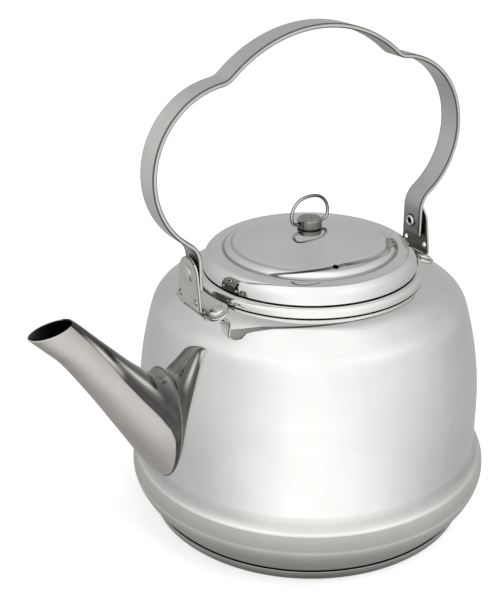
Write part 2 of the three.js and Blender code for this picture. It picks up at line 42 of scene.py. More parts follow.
# Sizes are in millimetres and go to metres as a mesh is made
mm = 0.001
metre = 1000  # in millimetres, for the scale of a noise
roundSteps = 160  # faces round the big turned pieces
smallSteps = 48  # faces round rivets and knob
curveSteps = 14  # points on each curve of a profile
wireSteps = 4  # bevel resolution of round wire
samePlace = 1e-7  # in metres; vertices closer than this are one

# The Mix node has several sockets of each name, so they are told apart by number
mixShare, numberA, numberB, colourA, colourB, mixedColour = 0, 2, 3, 6, 7, 2
multiply = {"data_type": "RGBA", "blend_type": "MULTIPLY"}


# Colour as written in hex, turned to the linear values that nodes take
def hexColour(text):
    channels = [int(text[i:i + 2], 16) / 255 for i in (1, 3, 5)]
    linear = [c / 12.92 if c <= 0.04045 else ((c + 0.055) / 1.055) ** 2.4 for c in channels]
    return (*linear, 1.0)


def grey(value):
    return (value, value, value, 1)


# Adds a node, sets its properties and inputs, and joins its links
def addNode(tree, kind, values=None, links=None, **settings):
    node = tree.nodes.new(kind)
    for key, value in settings.items():
        setattr(node, key, value)
    for socket, value in (values or {}).items():
        node.inputs[socket].default_value = value
    for socket, source in (links or {}).items():
        tree.links.new(source, node.inputs[socket])
    return node


# Gives a ramp its stops, each a place from 0 to 1 and a colour, and hands back its output
def setStops(ramp, stops):
    marks = ramp.color_ramp.elements
    while len(marks) < len(stops):
        marks.new(0.5)
    for mark, (spot, colour) in zip(marks, stops):
        mark.position = spot
    for mark, (spot, colour) in zip(marks, stops):
        mark.color = colour
    return ramp.outputs[0]


# Stops from a look's dark tone to its light one
def tones(look, spots):
    return [(spots[0], hexColour(look["dark"])), (spots[1], hexColour(look["light"]))]


# Finish darkened along a source; each stop is a place from 0 to 1 and the share of light left
def dimmed(tree, finish, source, stops):
    ramp = addNode(tree, "ShaderNodeValToRGB", links={"Fac": source})
    light = setStops(ramp, [(spot, grey(value)) for spot, value in stops])
    return addNode(tree, "ShaderNodeMix", {mixShare: 1.0}, {
        colourA: finish, colourB: light}, **multiply).outputs[mixedColour]


# What all the steels share: how their noises are built, where in the noise their tones stand,
# and the part of it that their roughness follows
noiseLook = {
    "grain": {"Detail": 4, "Roughness": 0.6},
    "smudge": {"Detail": 5, "Roughness": 0.55, "Distortion": 0.6},
    "wave": {"Detail": 1},
    "tones": (0.3, 0.62), "secondTones": (0.35, 0.65), "roughness": (0.3, 0.7),
}


# Steel with a grain, soft smudges and a slight wave in its sheet.
# The grain runs round the kettle's axis on turned pieces and along one axis on straight ones.
def steelMaterial(name, look):
    material = bpy.data.materials.new(name)
    material.use_nodes = True
    tree = material.node_tree
    tree.nodes.clear()
    spot = addNode(tree, "ShaderNodeTexCoord").outputs["Object"]
    if look["grain"] == "round":
        flat = addNode(tree, "ShaderNodeVectorMath", {1: (1, 1, 0)}, {0: spot},
                       operation="MULTIPLY")
        radius = addNode(tree, "ShaderNodeVectorMath", links={0: flat.outputs[0]},
                         operation="LENGTH")
        height = addNode(tree, "ShaderNodeSeparateXYZ", links={0: spot}).outputs["Z"]
        grainSpot = addNode(tree, "ShaderNodeCombineXYZ", links={
            "X": radius.outputs["Value"], "Z": height}).outputs[0]
    else:
        grainSpot = addNode(tree, "ShaderNodeMapping", {"Scale": look["stretch"]},
                            {"Vector": spot}).outputs[0]
    grain, smudge, wave = (
        addNode(tree, "ShaderNodeTexNoise", {
            "Scale": metre / look[kind + "Size"], **noiseLook[kind]}, {"Vector": source}).outputs[0]
        for kind, source in (("grain", grainSpot), ("smudge", spot), ("wave", spot)))
    both = addNode(tree, "ShaderNodeMix", {mixShare: look["grainShare"]}, {
        numberA: smudge, numberB: grain}).outputs[0]
    ramp = addNode(tree, "ShaderNodeValToRGB", links={"Fac": both})
    finish = setStops(ramp, tones(look, noiseLook["tones"]))
    low, high = noiseLook["roughness"]
    smooth, dull = look["roughness"]
    rough = addNode(tree, "ShaderNodeMapRange", {
        "From Min": low, "From Max": high, "To Min": smooth, "To Max": dull}, {
        "Value": both}).outputs[0]
    if "paintedLimb" in look:
        # Painted highlight and shade of polished wire: colour bright along its middle, dark where
        # it turns away from the view
        aside = addNode(tree, "ShaderNodeLayerWeight", {"Blend": 0.5}).outputs["Facing"]
        finish = dimmed(tree, finish, aside, look["paintedLimb"])
    if "second" in look:
        # A second finish takes over above a height, or where the piece's own attribute says so
        second = look["second"]
        if "heights" in second:
            source = addNode(tree, "ShaderNodeSeparateXYZ", links={0: spot}).outputs["Z"]
            low, high = (place * mm for place in second["heights"])
        else:
            source = addNode(tree, "ShaderNodeAttribute",
                             attribute_name=second["attribute"]).outputs["Fac"]
            low, high = second["edge"]
        takes = addNode(tree, "ShaderNodeMapRange", {"From Min": low, "From Max": high},
                        {"Value": source}).outputs[0]
        ramp = addNode(tree, "ShaderNodeValToRGB", links={"Fac": both})
        tone = setStops(ramp, tones(second, noiseLook["secondTones"]))
        # Painted shade from the piece's own colour attribute, laid over this finish
        if "shade" in second:
            shade = addNode(tree, "ShaderNodeAttribute", attribute_name=second["shade"])
            tone = addNode(tree, "ShaderNodeMix", {mixShare: 1.0}, {
                colourA: tone, colourB: shade.outputs["Color"]}, **multiply).outputs[mixedColour]
        finish = addNode(tree, "ShaderNodeMix", links={
            mixShare: takes, colourA: finish, colourB: tone},
            data_type="RGBA").outputs[mixedColour]
        rough = addNode(tree, "ShaderNodeMix", {numberB: second["roughness"]}, {
            mixShare: takes, numberA: rough}).outputs[0]
    if "paintedLevels" in look:
        # Painted light and shade: lighter or darker with height, or with distance from the X-Z
        # plane, both finishes alike
        axes = addNode(tree, "ShaderNodeSeparateXYZ", links={0: spot})
        reach = axes.outputs["Z"]
        if look.get("paintedLevelsAcross"):
            reach = addNode(tree, "ShaderNodeMath", links={0: axes.outputs["Y"]},
                            operation="ABSOLUTE").outputs[0]
        stops = look["paintedLevels"]
        low, high = stops[0][0], stops[-1][0]
        along = addNode(tree, "ShaderNodeMapRange", {
            "From Min": low * mm, "From Max": high * mm}, {"Value": reach}).outputs[0]
        finish = dimmed(tree, finish, along, [
            ((place - low) / (high - low), value) for place, value in stops])
    sheet = addNode(tree, "ShaderNodeBump", {
        "Strength": 1.0, "Distance": look["waveDepth"] * mm}, {"Height": wave})
    lines = addNode(tree, "ShaderNodeBump", {
        "Strength": 1.0, "Distance": look["grainDepth"] * mm}, {
        "Height": grain, "Normal": sheet.outputs[0]})
    shader = addNode(tree, "ShaderNodeBsdfPrincipled", {"Metallic": 1.0}, {
        "Base Color": finish, "Roughness": rough, "Normal": lines.outputs[0]})
    addNode(tree, "ShaderNodeOutputMaterial", links={"Surface": shader.outputs[0]})
    return material


# Stainless sheet, spun and mirror polished: near-perfect reflections with a slight swim in them,
# fingerprint-soft patches and hair lines that run round the pot
mirrorLook = {
    "grain": "round", "grainSize": 0.9, "grainShare": 0.25, "grainDepth": 0.00012,
    "smudgeSize": 38, "waveSize": 45, "waveDepth": 0.0012,
    "dark": "#e5e4e2", "light": "#edecea", "roughness": (0.015, 0.04)}
mirrorSteel = steelMaterial("mirrorPolishedStainless", mirrorLook)

# The same on the lid, with thin dark lines of painted shade above and below the step
lidSteel = steelMaterial("mirrorPolishedLid", {
    **mirrorLook,
    "paintedLevels": [(153.5, 1.0), (153.62, 0.95), (153.85, 0.42), (154.35, 0.45), (154.9, 1.0),
               (156.25, 1.0), (156.6, 0.72), (156.95, 0.72), (157.25, 1.0), (165.0, 1.0)]})

# Pan and its bead, brushed after rolling: softer and greyer, but buffed with the wall at the seam
brushedSteel = steelMaterial("brushedStainlessPan", {
    "grain": "round", "grainSize": 0.7, "grainShare": 0.4, "grainDepth": 0.0012,
    "smudgeSize": 30, "waveSize": 45, "waveDepth": 0.003,
    "dark": "#d5d4d0", "light": "#e0dfdc", "roughness": (0.76, 0.82),
    # Painted shade, darker towards the floor and in the fillet under the wall, with a painted
    # highlight round the bead
    "paintedLevels": [(7, 0.56), (14, 0.58), (20, 0.69), (23.2, 0.79), (24.7, 0.95), (25.3, 0.95),
               (26.4, 0.79), (30, 0.82), (33.6, 0.88), (34.1, 1.0), (34.8, 0.98), (35.8, 0.8),
               (38.5, 0.8), (41, 0.88), (43, 0.96), (44, 1.0)],
    "second": {"heights": (33.7, 34.5), "dark": "#e4e3e0", "light": "#edecea",
               "roughness": 0.06}})

# Spout, drawn and satin rubbed: flat grey from the side; along its top and round the weld glossy,
# with a painted dark reflection and painted bright streaks laid on it
spoutSteel = steelMaterial("satinStainlessSpout", {
    "grain": "straight", "stretch": (0.25, 1, 0.35),
    "grainSize": 1.4, "grainShare": 0.35, "grainDepth": 0.002,
    "smudgeSize": 26, "waveSize": 30, "waveDepth": 0.003,
    "dark": "#cbc7c2", "light": "#d6d2cd", "roughness": (0.52, 0.58),
    "second": {"attribute": "burnish", "edge": (1.03, 0.98), "shade": "shade",
               "dark": "#dddbd7", "light": "#efedea", "roughness": 0.14}})

# Stainless of the rivets, turned and buffed by hand: bright, a little less flat than the sheet
buffedSteel = steelMaterial("buffedStainless", {
    "grain": "straight", "stretch": (1, 1, 1),
    "grainSize": 1.2, "grainShare": 0.5, "grainDepth": 0.002,
    "smudgeSize": 9, "waveSize": 12, "waveDepth": 0.002,
    "dark": "#cfcdc8", "light": "#e2e0dc", "roughness": (0.06, 0.12)})

# Turned button, streaked along its height, with painted shade: its side dark, darkest in the groove
# at its foot, its top lighter
burnishedSteel = steelMaterial("burnishedStainlessKnob", {
    "grain": "straight", "stretch": (1, 1, 0.1),
    "grainSize": 2.2, "grainShare": 0.6, "grainDepth": 0.001,
    "smudgeSize": 6, "waveSize": 9, "waveDepth": 0.002,
    "dark": "#85827d", "light": "#d6d3ce", "roughness": (0.05, 0.1),
    "paintedLevels": [(165.3, 0.08), (165.6, 0.34), (169.1, 0.4), (169.9, 0.66), (185, 0.66)]})

# Drawn wire of the ring, polished, with a painted highlight along it between two lines of painted
# shade
wireSteel = steelMaterial("drawnStainlessWire", {
    "grain": "straight", "stretch": (1, 1, 1),
    "grainSize": 1.2, "grainShare": 0.5, "grainDepth": 0.001,
    "smudgeSize": 6, "waveSize": 9, "waveDepth": 0.002,
    "dark": "#c9c7c3", "light": "#dedcd8", "roughness": (0.06, 0.1),
    "paintedLimb": [(0, 0.9), (0.1, 0.7), (0.26, 0.12), (1, 0.07)]})

# Inside of the spout: dull and dark grey
pressedSteel = steelMaterial("pressedStainlessInside", {
    "grain": "round", "grainSize": 1.5, "grainShare": 0.5, "grainDepth": 0.004,
    "smudgeSize": 30, "waveSize": 45, "waveDepth": 0.005,
    "dark": "#76736e", "light": "#8b8883", "roughness": (0.28, 0.42)})

# Inside of the pot, pickled bright after forming: pale, and it shows light only in blurred pools
insideSteel = steelMaterial("pickledStainlessInside", {
    "grain": "round", "grainSize": 1.5, "grainShare": 0.4, "grainDepth": 0.003,
    "smudgeSize": 30, "waveSize": 45, "waveDepth": 0.004,
    "dark": "#c9c7c3", "light": "#dad8d4", "roughness": (0.3, 0.4)})

# Flat strip, satin finished on a belt: lines run along the strip, so highlights smear across it
stripLook = {
    "grain": "straight", "stretch": (0.06, 1, 0.06),
    "grainSize": 0.8, "grainShare": 0.6, "grainDepth": 0.004,
    "smudgeSize": 26, "waveSize": 40, "waveDepth": 0.003,
    "dark": "#e5e3e0", "light": "#f0eeeb", "roughness": (0.22, 0.3),
    # Painted shade by height: darker towards the strip's feet and a little below the crown; the
    # lid's skirt and the knob's washer take it too
    "paintedLevels": [(148, 0.36), (160, 0.44), (168, 0.56), (180, 0.82), (205, 1.0), (240, 1.0),
               (250, 0.84), (274, 0.8)]}
satinSteel = steelMaterial("satinBrushedStainless", stripLook)

# Inside of the strip's bend, a copy of the strip with painted shade: darkest towards the crown
innerStripSteel = steelMaterial("dullStripInside", {
    **stripLook, "grainShare": 0.5, "dark": "#dfddda", "light": "#eae8e5",
    "paintedLevels": [(148, 0.38), (160, 0.56), (166, 0.64), (180, 0.7), (200, 0.8), (225, 0.77),
               (242, 0.78), (256, 0.5), (274, 0.18)]})

# Edge of that strip, rolled round and polished, with a painted highlight along it between two
# painted dark lines
edgeSteel = steelMaterial("polishedStripEdge", {
    "grain": "straight", "stretch": (0.1, 1, 0.1),
    "grainSize": 0.9, "grainShare": 0.5, "grainDepth": 0.001,
    "smudgeSize": 15, "waveSize": 25, "waveDepth": 0.002,
    "dark": "#cbc9c5", "light": "#dddbd7", "roughness": (0.07, 0.13), "paintedLevelsAcross": True,
    "paintedLevels": [(6.3, 0.22), (6.9, 0.16), (7.2, 0.3), (7.35, 0.92), (7.5, 0.95)]})

# Stamped plate, tumbled: softer than the polished sheet under it
plateLook = {
    "grain": "straight", "stretch": (1, 0.12, 1),
    "grainSize": 1.1, "grainShare": 0.5, "grainDepth": 0.006,
    "smudgeSize": 7, "waveSize": 14, "waveDepth": 0.003,
    "dark": "#d3d1cd", "light": "#e4e2de", "roughness": (0.2, 0.3)}
stampedSteel = steelMaterial("tumbledStampedStainless", plateLook)

# Shaded copy of the stamped plate, painted nearly black: on its back towards the lid, as dark
# outlines round its edges, and in the rivets' bores
scaledSteel = steelMaterial("unbuffedStampedStainless", {
    **plateLook, "waveDepth": 0.004,
    "dark": "#565350", "light": "#726f6a", "roughness": (0.22, 0.36)})

# Spun cap of the base: fine turning lines and a darker grey, with painted shade deepening towards
# the floor
spunSteel = steelMaterial("spunStainlessCap", {
    "grain": "round", "grainSize": 0.7, "grainShare": 0.7, "grainDepth": 0.01,
    "smudgeSize": 24, "waveSize": 50, "waveDepth": 0.003,
    "dark": "#aca8a4", "light": "#cecbc6", "roughness": (0.26, 0.4),
    "paintedLevels": [(0, 0.56), (1.6, 0.58), (3.2, 0.68), (4.6, 0.95), (5.9, 1.0), (6.8, 1.0)]})

# Bead of the seam weld: dulled by heat and brushing
weldSteel = steelMaterial("brushedWeldStainless", {
    "grain": "straight", "stretch": (1, 1, 1),
    "grainSize": 1.0, "grainShare": 0.5, "grainDepth": 0.02,
    "smudgeSize": 6, "waveSize": 9, "waveDepth": 0.004,
    "dark": "#6b6863", "light": "#8f8c86", "roughness": (0.2, 0.36)})

# Disc pressed between cap and pan: aluminium, painted dark as the shade in the groove where its
# edge shows
discAluminium = steelMaterial("pressedAluminium", {
    "grain": "round", "grainSize": 1.4, "grainShare": 0.5, "grainDepth": 0.01,
    "smudgeSize": 18, "waveSize": 40, "waveDepth": 0.005,
    "dark": "#4b4c4d", "light": "#68696a", "roughness": (0.42, 0.6)})
print("kettle: materials made")


# Points of a profile: plain places, and curves given as two handles and an end
def traced(line):
    points = []
    for item in line:
        if isinstance(item[0], tuple):
            knots = [Vector((*spot, 0)) for spot in (points[-1], *item)]
            curve = interpolate_bezier(*knots, curveSteps)
            points += [(spot.x, spot.y) for spot in curve[1:]]
        else:
            points.append(tuple(item))
    return points


# Row of joined vertices through places given in millimetres
def addLine(bm, places, closed=False):
    verts = [bm.verts.new(Vector(place) * mm) for place in places]
    edges = [bm.edges.new(pair) for pair in zip(verts, verts[1:])]
    if closed:
        edges.append(bm.edges.new((verts[-1], verts[0])))
    return verts, edges


# Draws edges out into a strip of faces, by a step in metres
def drawOut(bm, edges, step):
    drawn = bmesh.ops.extrude_edge_only(bm, edges=edges)
    far = [item for item in drawn["geom"] if isinstance(item, bmesh.types.BMVert)]
    bmesh.ops.translate(bm, verts=far, vec=step)


# Makes the faces agree, and turns them over if the one with the highest score looks the wrong
# way. The way out is a direction, or else away from the kettle's axis.
def faceOut(bm, score, out=None):
    bmesh.ops.recalc_face_normals(bm, faces=bm.faces)
    best = max(bm.faces, key=score)
    if out is None:
        out = (*best.calc_center_median().xy, 0)
    if best.normal.dot(Vector(out)) < 0:
        bmesh.ops.reverse_faces(bm, faces=bm.faces)


# Profile of (radius, height) spun about the kettle's axis
def spun(line, steps=roundSteps, closed=False):
    bm = bmesh.new()
    verts, edges = addLine(bm, [(radius, 0, height) for radius, height in line], closed)
    bmesh.ops.spin(bm, geom=verts + edges, cent=(0, 0, 0), axis=(0, 0, 1), angle=2 * pi,
                   steps=steps, use_merge=True)
    bmesh.ops.remove_doubles(bm, verts=bm.verts, dist=samePlace)
    faceOut(bm, lambda face: face.calc_center_median().xy.length)
    return bm


# Mesh made into an object at the origin, shaded smooth
def toObject(name, bm, materials):
    mesh = bpy.data.meshes.new(name)
    for face in bm.faces:
        face.smooth = True
    bm.to_mesh(mesh)
    bm.free()
    for material in materials:
        mesh.materials.append(material)
    piece = bpy.data.objects.new(name, mesh)
    bpy.context.scene.collection.objects.link(piece)
    return piece


# Wall of a sheet, on the back of its faces or, at offset 0, on both sides of them.
# Its inside and its cut edge can take a later material of the piece.
def addWall(piece, thickness, inside=0, edge=0, offset=-1):
    wall = piece.modifiers.new("wall", "SOLIDIFY")
    wall.thickness = thickness * mm
    wall.offset = offset
    wall.use_even_offset = True
    wall.material_offset = inside
    wall.material_offset_rim = edge


# Small rounding of the edges that turn by more than an angle
def addRounding(piece, width, angle=35, segments=2, **settings):
    rounding = piece.modifiers.new("rounding", "BEVEL")
    rounding.width = width * mm
    rounding.segments = segments
    rounding.limit_method = "ANGLE"
    rounding.angle_limit = radians(angle)
    rounding.harden_normals = True
    for key, value in settings.items():
        setattr(rounding, key, value)


# The piece's mesh with its modifiers applied
def settle(piece):
    depsgraph = bpy.context.evaluated_depsgraph_get()
    mesh = bpy.data.meshes.new_from_object(piece.evaluated_get(depsgraph))
    old = piece.data
    piece.modifiers.clear()
    piece.data = mesh
    mesh.name = piece.name
    bpy.data.meshes.remove(old)


# Holes drilled through a piece, each a middle, an axis, a radius and a length; scale makes
# them oval
def drill(piece, holes, scale=(1, 1, 1)):
    bm = bmesh.new()
    for middle, axis, radius, length in holes:
        turned = Vector(axis).to_track_quat("Z", "Y").to_matrix().to_4x4()
        seat = Matrix.Translation(Vector(middle) * mm) @ Matrix.Diagonal((*scale, 1)) @ turned
        bmesh.ops.create_cone(bm, cap_ends=True, segments=smallSteps, radius1=radius * mm,
                              radius2=radius * mm, depth=length * mm, matrix=seat)
    cutter = toObject(piece.name + "Cutter", bm, [])
    cut = piece.modifiers.new("drill", "BOOLEAN")
    cut.object = cutter
    cut.solver = "EXACT"
    settle(piece)
    bpy.data.objects.remove(cutter)


# Last step of each piece: what carries it, and what it stands for, whose parts are hidden
def register(piece, body, slot, *nodes):
    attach(piece, body)
    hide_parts(*nodes)


# Base: the spun cap, the disc inside it, and the pan with its rolled bead
base = {
    "cap": [(0, 0), (89.0, 0), (90.4, 1.4), (91.9, 6.2)],
    "capSheet": 0.6, "capRounding": 0.25, "capAngle": 25,
    "disc": [(0, 0.6), (88.1, 0.6), (88.1, 7.2), (0, 7.2)],
    "pan": [(0, 7.2), (91.2, 7.2),
            ((94.5, 11.0), (101.4, 19.0), (101.4, 26.0)),
            ((101.4, 29.6), (101.0, 31.9), (99.6, 33.6)),
            ((98.8, 34.55), (98.1, 35.1), (97.4, 36.0)),
            ((96.3, 37.4), (95.7, 39.6), (95.7, 43.0))],
    "panSheet": 0.8, "panRounding": 0.06,
}
baseCap = toObject("baseCap", spun(base["cap"]), [spunSteel])
addWall(baseCap, base["capSheet"])
addRounding(baseCap, base["capRounding"], base["capAngle"])
register(baseCap, "kettle", "spun_steel", "base_cap")
baseDisc = toObject("baseDisc", spun(base["disc"]), [discAluminium])
register(baseDisc, "kettle", "disc_aluminium", "base_core")
basePan = toObject("basePan", spun(traced(base["pan"])), [brushedSteel, insideSteel])
addWall(basePan, base["panSheet"], inside=1)
addRounding(basePan, base["panRounding"])
register(basePan, "kettle", "polished_steel", "base_pan")
print("kettle: base made")

# Wall and shoulder in one sheet, with the oval pouring hole behind the spout
wall = {
    "line": [(95.7, 43.0), (95.7, 64.1),
             ((95.7, 88.0), (91.28, 107.0), (87.2, 121.0)),
             ((84.9, 128.5), (82.0, 129.35), (75.3, 133.7)),
             ((71.9, 135.9), (68.0, 138.1), (62.4, 138.9)), (54.1, 140.6)],
    "sheet": 0.8, "rounding": 0.06, "angle": 50,
    "cone": (62.4, 138.8), "slope": 4.6 / 12.9,  # the cone that the brackets stand on
    "holeMiddle": (-95.7, 0, 72.3), "holeWidth": 30, "holeHeight": 40, "holeLength": 60,
}
wallLine = traced(wall["line"])
wallShell = toObject("wallShell", spun(wallLine), [mirrorSteel, insideSteel])
addWall(wallShell, wall["sheet"], inside=1)
drill(wallShell, [(wall["holeMiddle"], (1, 0, 0), wall["holeWidth"] / 2, wall["holeLength"])],
      (1, 1, wall["holeHeight"] / wall["holeWidth"]))
addRounding(wallShell, wall["rounding"], wall["angle"])
register(wallShell, "kettle", "polished_steel", "body_shell")


# Height of the shoulder's cone at a radius
def shoulderAt(radius):
    coneRadius, coneHeight = wall["cone"]
    return coneHeight - (radius - coneRadius) * wall["slope"]


# Radius of the wall's outside at a height
def wallAt(height):
    for (lowRadius, low), (highRadius, high) in zip(wallLine, wallLine[1:]):
        if low <= height <= high and high > low:
            return lowRadius + (highRadius - lowRadius) * (height - low) / (high - low)
    return wallLine[0][0]


# Neck: rolled collar with its inner leg
neck = {
    "line": [(53.0, 130.2), (53.0, 144.2), (58.8, 144.2),
             ((61.0, 144.2), (62.4, 142.9), (62.4, 140.8)), (62.4, 139.5)],
    "sheet": 0.8, "rounding": 0.3,
}
neckCollar = toObject("neckCollar", spun(traced(neck["line"])), [mirrorSteel, insideSteel])
addWall(neckCollar, neck["sheet"], inside=1)
addRounding(neckCollar, neck["rounding"])
register(neckCollar, "kettle", "polished_steel", "neck_ring")
print("kettle: body and neck made")

# Lid: dome, step, flat ring and rounded rim, a small steam vent, a hole for the knob's shank,
# and the skirt inside the neck
lid = {
    "line": [(0, 164.8), (7.4, 164.8),
             ((13.0, 164.8), (17.0, 163.95), (21.0, 162.85)),
             ((26.6, 161.36), (31.2, 160.16), (35.6, 158.98)),
             ((39.4, 157.96), (43.4, 156.7), (46.1, 154.65)),
             ((46.8, 154.12), (47.5, 153.5), (48.8, 153.5)),
             (52.9, 153.5),
             ((55.5, 153.5), (58.5, 149.8), (58.5, 144.95))],
    "sheet": 0.8, "rounding": 0.25, "angle": 50,
    "vent": 1.6, "ventReach": 40.2, "ventTurn": -104.6, "ventHeight": 158, "ventLength": 12,
    "shank": 2.1, "shankHeight": 164, "shankLength": 6,
    "skirt": [(51.8, 132.2), (52.6, 132.2), (52.6, 152.7), (51.8, 152.7)], "skirtRounding": 0.2,
}
lidPlate = toObject("lidPlate", spun(traced(lid["line"])), [lidSteel, insideSteel])
addWall(lidPlate, lid["sheet"], inside=1)
ventTurn = radians(lid["ventTurn"])
ventPlace = (lid["ventReach"] * cos(ventTurn), lid["ventReach"] * sin(ventTurn), lid["ventHeight"])
drill(lidPlate, [(ventPlace, (0, 0, 1), lid["vent"], lid["ventLength"]),
                 ((0, 0, lid["shankHeight"]), (0, 0, 1), lid["shank"], lid["shankLength"])])
addRounding(lidPlate, lid["rounding"], lid["angle"])
register(lidPlate, "lid", "polished_steel", "lid_shell")
lidSkirt = toObject("lidSkirt", spun(lid["skirt"], closed=True), [insideSteel])
addRounding(lidSkirt, lid["skirtRounding"])
register(lidSkirt, "lid", "satin_steel", "lid_skirt")

# Knob: turned button with a cross hole for the ring, and the washer under the lid
knob = {
    "line": [(0, 170.0), (6.2, 170.0), (6.8, 169.4), (6.8, 165.5), (5.9, 165.3), (5.9, 164.8),
             (2.0, 164.8), (2.0, 163.1), (3.2, 163.1), (3.2, 162.1), (0, 162.1)],
    "rounding": 0.18, "angle": 30,
    "hole": 1.2, "holeHeight": 167.6, "holeLength": 30,
    "washer": [(2.1, 163.2), (6.0, 163.2), (6.0, 164.0), (2.1, 164.0)], "washerRounding": 0.15,
}
lidKnob = toObject("lidKnob", spun(knob["line"], smallSteps), [burnishedSteel])
drill(lidKnob, [((0, 0, knob["holeHeight"]), (1, 0, 0), knob["hole"], knob["holeLength"])])
addRounding(lidKnob, knob["rounding"], knob["angle"])
register(lidKnob, "lid", "polished_steel", "lid_knob")
knobWasher = toObject("knobWasher", spun(knob["washer"], smallSteps, closed=True), [satinSteel])
addRounding(knobWasher, knob["washerRounding"])
register(knobWasher, "lid", "satin_steel", "knob_washer")


# Places on a smooth curve through knots of any number of values
def through(knots, steps):
    ends = [knots[0], *knots, knots[-1]]
    places = []
    for before, here, after, beyond in zip(ends, ends[1:], ends[2:], ends[3:]):
        for step in range(steps):
            t = step / steps
            places.append(tuple(
                0.5 * (2 * b + (c - a) * t + (2 * a - 5 * b + 4 * c - d) * t ** 2
                       + (3 * b - a - 3 * c + d) * t ** 3)
                for a, b, c, d in zip(before, here, after, beyond)))
    return [*places, tuple(knots[-1])]


# Mesh of round wire through places in millimetres; swell gives each place's share of the radius
def roundWire(name, places, radius, cyclic=False, swell=None):
    curve = bpy.data.curves.new(name, "CURVE")
    curve.dimensions = "3D"
    curve.bevel_depth = radius * mm
    curve.bevel_resolution = wireSteps
    curve.use_fill_caps = not cyclic
    spline = curve.splines.new("POLY")
    spline.points.add(len(places) - 1)
    spline.use_cyclic_u = cyclic
    for i, place in enumerate(places):
        spline.points[i].co = (*(Vector(place) * mm), 1)
        spline.points[i].radius = swell[i] if swell else 1
    holder = bpy.data.objects.new(name, curve)
    bpy.context.scene.collection.objects.link(holder)
    depsgraph = bpy.context.evaluated_depsgraph_get()
    mesh = bpy.data.meshes.new_from_object(holder.evaluated_get(depsgraph))
    bm = bmesh.new()
    bm.from_mesh(mesh)
    bmesh.ops.recalc_face_normals(bm, faces=bm.faces)
    bpy.data.objects.remove(holder)
    bpy.data.curves.remove(curve)
    bpy.data.meshes.remove(mesh)
    return bm


# Ring of wire in the knob's hole, half of it given from the hole to its top
ring = {
    "wire": 0.9, "height": 167.608, "steps": 8,
    "half": [(4.3, 0), (8.02, 0), (10.74, 1.25), (11.62, 4.7), (10.27, 9.7), (6.14, 13.52),
             (0, 14.7)],
}
ringKnots = ring["half"] + [(-x, z) for x, z in reversed(ring["half"][:-1])]
ringPlaces = [(x, 0, z + ring["height"]) for x, z in through(ringKnots, ring["steps"])]
knobRing = toObject("knobRing", roundWire("ringWire", ringPlaces, ring["wire"]), [wireSteel])
register(knobRing, "ring", "rivet_steel", "knob_ring")
print("kettle: lid made")

# Bail: flat strip bent in one plane; centres and radii are of its middle line
bail = {
    "thickness": 2.5, "width": 14.8, "rounding": 1.1, "angle": 40, "segments": 4,
    "tail": (71.45, 146.0), "pivotHeight": 154.5, "hole": 2.8, "holeLength": 10,
    "crown": ((0, 196.9), 76.45),
    "lobe": ((51.25, 208.0), 43.85),
    "valley": 10.0,
    "ankle": 12.75,
    "bend": 3.0,  # degrees of a bend in one step
    "crownMerge": 1e-5, "stripMerge": 1e-6,  # in metres, as samePlace, for the mirrored strip
}


# Places along an arc between two bearings
def arcPlaces(centre, radius, start, end):
    steps = max(2, round(abs(degrees(end - start)) / bail["bend"]))
    turns = [start + (end - start) * i / steps for i in range(steps + 1)]
    return [(centre[0] + radius * cos(turn), centre[1] + radius * sin(turn)) for turn in turns]


def bearing(start, end):
    return atan2(end[1] - start[1], end[0] - start[0])


crown, crownRadius = bail["crown"]
lobe, lobeRadius = bail["lobe"]
valleys = intersect_sphere_sphere_2d(
    crown, crownRadius + bail["valley"], lobe, lobeRadius + bail["valley"])
valley = max(valleys, key=lambda place: place[1])
ankleX = bail["tail"][0] + bail["ankle"]
ankleReach = lobeRadius + bail["ankle"]
ankle = (ankleX, lobe[1] - sqrt(ankleReach ** 2 - (ankleX - lobe[0]) ** 2))
halfLine = [
    bail["tail"],
    *arcPlaces(ankle, bail["ankle"], pi, bearing(ankle, lobe)),
    *arcPlaces(lobe, lobeRadius, bearing(lobe, ankle), bearing(lobe, valley))[1:],
    *arcPlaces(valley, bail["valley"], bearing(valley, lobe), bearing(valley, crown))[1:],
    *arcPlaces(crown, crownRadius, bearing(crown, valley), pi / 2)[1:],
]
bm = bmesh.new()
edges = addLine(bm, [(x, -bail["width"] / 2, z) for x, z in halfLine])[1]
drawOut(bm, edges, (0, bail["width"] * mm, 0))
bmesh.ops.mirror(bm, geom=bm.verts[:] + bm.edges[:] + bm.faces[:], axis="X",
                 merge_dist=bail["crownMerge"])
bmesh.ops.remove_doubles(bm, verts=bm.verts, dist=bail["stripMerge"])
faceOut(bm, lambda face: face.calc_center_median().z, (0, 0, 1))
bailStrip = toObject("bailStrip", bm, [satinSteel, edgeSteel, innerStripSteel])
addWall(bailStrip, bail["thickness"], inside=2, edge=1, offset=0)
drill(bailStrip, [((side * bail["tail"][0], 0, bail["pivotHeight"]), (1, 0, 0), bail["hole"],
                   bail["holeLength"]) for side in (-1, 1)])
# The rounded edges take the edge finish, with its painted highlight and dark lines
addRounding(bailStrip, bail["rounding"], bail["angle"], bail["segments"], material=1)
register(bailStrip, "bail", "satin_steel", "bail")
print("kettle: bail made")

# Brackets: an ear bent up from a foot that lies on the shoulder
bracket = {
    "sheet": 1.6, "rounding": 0.35,
    "earFace": 75.3, "earTop": 154.5, "earRadius": 9.3, "earHalf": 11.7, "earFoot": 138.8,
    "earSteps": 40,
    "bendRadius": 2.6, "bendMiddle": 138.0, "bendTurn": 70.4, "bendSteps": 8, "bendRun": 2.0,
    "footMiddle": 69.1, "footWidth": 11.8, "footAngle": 13.1, "footRise": 0.1, "footTip": 0.2,
    "footSteps": 60,
    "inset": 72.9, "insetMargin": 0.6,  # where the foot makes room for the bend
    "relief": 1.5, "reliefPlace": (8.2, 141.4), "pivotHole": 2.6,
    "holeMiddle": 74.5, "holeLength": 8,
}


